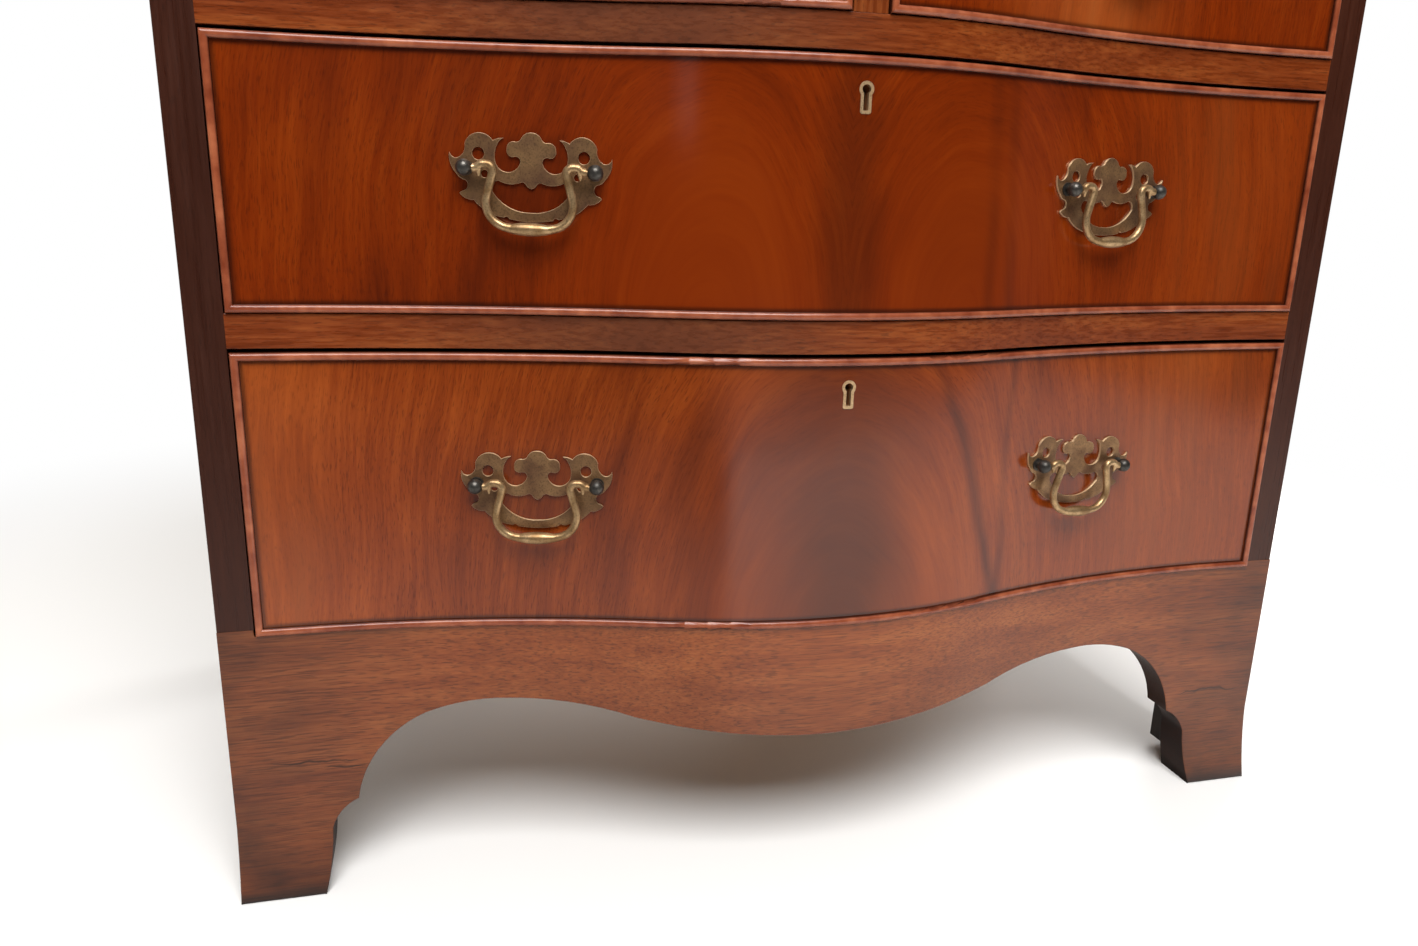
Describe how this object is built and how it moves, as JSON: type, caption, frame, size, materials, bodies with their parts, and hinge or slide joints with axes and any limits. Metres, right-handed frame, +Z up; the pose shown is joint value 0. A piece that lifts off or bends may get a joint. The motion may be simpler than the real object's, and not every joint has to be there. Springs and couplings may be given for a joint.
{
  "type": "chest of drawers",
  "caption": "Serpentine-front mahogany chest of drawers with short drawers over long ones, cock-beaded fronts, pierced swan-neck brass handles and a shaped apron on bracket feet.",
  "frame": {"origin": "on the floor under the middle of the chest's bounding box", "axes": "+Z up, -Y out of the drawer fronts, +X to the right seen from the front"},
  "size_m": [0.816, 0.48, 0.7463],
  "materials": {
    "flame_mahogany": "waxed, crotch-figured veneer",
    "bead_mahogany": "waxed",
    "mahogany": "waxed, straight grain",
    "side_mahogany": "dark, waxed",
    "top_mahogany": "polished",
    "oak": "bare",
    "pine": "bare",
    "plate_brass": "dull, lacquered",
    "bail_brass": "worn bright",
    "post_bronze": "dark bronze patina",
    "bright_brass": "worn bright",
    "lock_brass": "dull",
    "bolt_steel": "brushed"
  },
  "bodies": {
    "case": {"top_board": "top_mahogany", "left_case_side": "side_mahogany", "right_case_side": "side_mahogany", "case_bottom": "pine", "back_boards": "pine", "top_rail": "mahogany", "drawer_rails": "mahogany", "short_drawer_divider": "mahogany", "drawer_runners": "pine", "drawer_stops": "pine", "front_apron": "mahogany", "side_bases": "mahogany", "rear_foot_brackets": "pine", "foot_blocks": "pine"},
    "lower_long_drawer": {"lower_long_front": "flame_mahogany", "lower_long_cock_bead": "bead_mahogany", "lower_long_sides": "oak", "lower_long_back": "oak", "lower_long_bottom": "oak", "lower_long_lock_case": "lock_brass", "lower_long_escutcheon": "bright_brass", "lower_long_handle_plates": "plate_brass", "lower_long_handle_posts": "post_bronze"},
    "lower_long_lock_bolt": {"lower_long_lock_bolt": "bolt_steel"},
    "lower_long_bail_left": {"lower_long_bail_left": "bail_brass"},
    "lower_long_bail_right": {"lower_long_bail_right": "bail_brass"},
    "upper_long_drawer": {"upper_long_front": "flame_mahogany", "upper_long_cock_bead": "bead_mahogany", "upper_long_sides": "oak", "upper_long_back": "oak", "upper_long_bottom": "oak", "upper_long_lock_case": "lock_brass", "upper_long_escutcheon": "bright_brass", "upper_long_handle_plates": "plate_brass", "upper_long_handle_posts": "post_bronze"},
    "upper_long_lock_bolt": {"upper_long_lock_bolt": "bolt_steel"},
    "upper_long_bail_left": {"upper_long_bail_left": "bail_brass"},
    "upper_long_bail_right": {"upper_long_bail_right": "bail_brass"},
    "left_short_drawer": {"left_short_front": "flame_mahogany", "left_short_cock_bead": "bead_mahogany", "left_short_sides": "oak", "left_short_back": "oak", "left_short_bottom": "oak", "left_short_lock_case": "lock_brass", "left_short_escutcheon": "bright_brass", "left_short_handle_plates": "plate_brass", "left_short_handle_posts": "post_bronze"},
    "left_short_lock_bolt": {"left_short_lock_bolt": "bolt_steel"},
    "left_short_bail": {"left_short_bail": "bail_brass"},
    "right_short_drawer": {"right_short_front": "flame_mahogany", "right_short_cock_bead": "bead_mahogany", "right_short_sides": "oak", "right_short_back": "oak", "right_short_bottom": "oak", "right_short_lock_case": "lock_brass", "right_short_escutcheon": "bright_brass", "right_short_handle_plates": "plate_brass", "right_short_handle_posts": "post_bronze"},
    "right_short_lock_bolt": {"right_short_lock_bolt": "bolt_steel"},
    "right_short_bail": {"right_short_bail": "bail_brass"}
  },
  "joints": [
    {"name": "lower_long_slide", "type": "slide", "parent": "case", "child": "lower_long_drawer", "axis": [0, -1, 0], "range_m": [0, 0.3]},
    {"name": "lower_long_bolt_throw", "type": "slide", "parent": "lower_long_drawer", "child": "lower_long_lock_bolt", "axis": [0, 0, 1], "range_m": [0, 0.008]},
    {"name": "lower_long_bail_left_swing", "type": "hinge", "parent": "lower_long_drawer", "child": "lower_long_bail_left", "pos_m": [-0.19591, -0.19934, 0.2858], "axis": [-0.9817, 0.1906, 0], "range_deg": [-5, 95]},
    {"name": "lower_long_bail_right_swing", "type": "hinge", "parent": "lower_long_drawer", "child": "lower_long_bail_right", "pos_m": [0.19591, -0.19934, 0.2847], "axis": [-0.9793, -0.1901, 0.0698], "range_deg": [-5, 95]},
    {"name": "upper_long_slide", "type": "slide", "parent": "case", "child": "upper_long_drawer", "axis": [0, -1, 0], "range_m": [0, 0.3]},
    {"name": "upper_long_bolt_throw", "type": "slide", "parent": "upper_long_drawer", "child": "upper_long_lock_bolt", "axis": [0, 0, 1], "range_m": [0, 0.008]},
    {"name": "upper_long_bail_left_swing", "type": "hinge", "parent": "upper_long_drawer", "child": "upper_long_bail_left", "pos_m": [-0.19591, -0.19934, 0.4776], "axis": [-0.9815, 0.1905, 0.0209], "range_deg": [-5, 95]},
    {"name": "upper_long_bail_right_swing", "type": "hinge", "parent": "upper_long_drawer", "child": "upper_long_bail_right", "pos_m": [0.19591, -0.19934, 0.4761], "axis": [-0.9817, -0.1906, 0], "range_deg": [-5, 95]},
    {"name": "left_short_slide", "type": "slide", "parent": "case", "child": "left_short_drawer", "axis": [0, -1, 0], "range_m": [0, 0.3]},
    {"name": "left_short_bolt_throw", "type": "slide", "parent": "left_short_drawer", "child": "left_short_lock_bolt", "axis": [0, 0, 1], "range_m": [0, 0.008]},
    {"name": "left_short_bail_swing", "type": "hinge", "parent": "left_short_drawer", "child": "left_short_bail", "pos_m": [-0.19591, -0.19934, 0.6432], "axis": [-0.9817, 0.1906, 0], "range_deg": [-5, 95]},
    {"name": "right_short_slide", "type": "slide", "parent": "case", "child": "right_short_drawer", "axis": [0, -1, 0], "range_m": [0, 0.3]},
    {"name": "right_short_bolt_throw", "type": "slide", "parent": "right_short_drawer", "child": "right_short_lock_bolt", "axis": [0, 0, 1], "range_m": [0, 0.008]},
    {"name": "right_short_bail_swing", "type": "hinge", "parent": "right_short_drawer", "child": "right_short_bail", "pos_m": [0.19591, -0.19934, 0.6432], "axis": [-0.9817, -0.1906, 0], "range_deg": [-5, 95]}
  ]
}
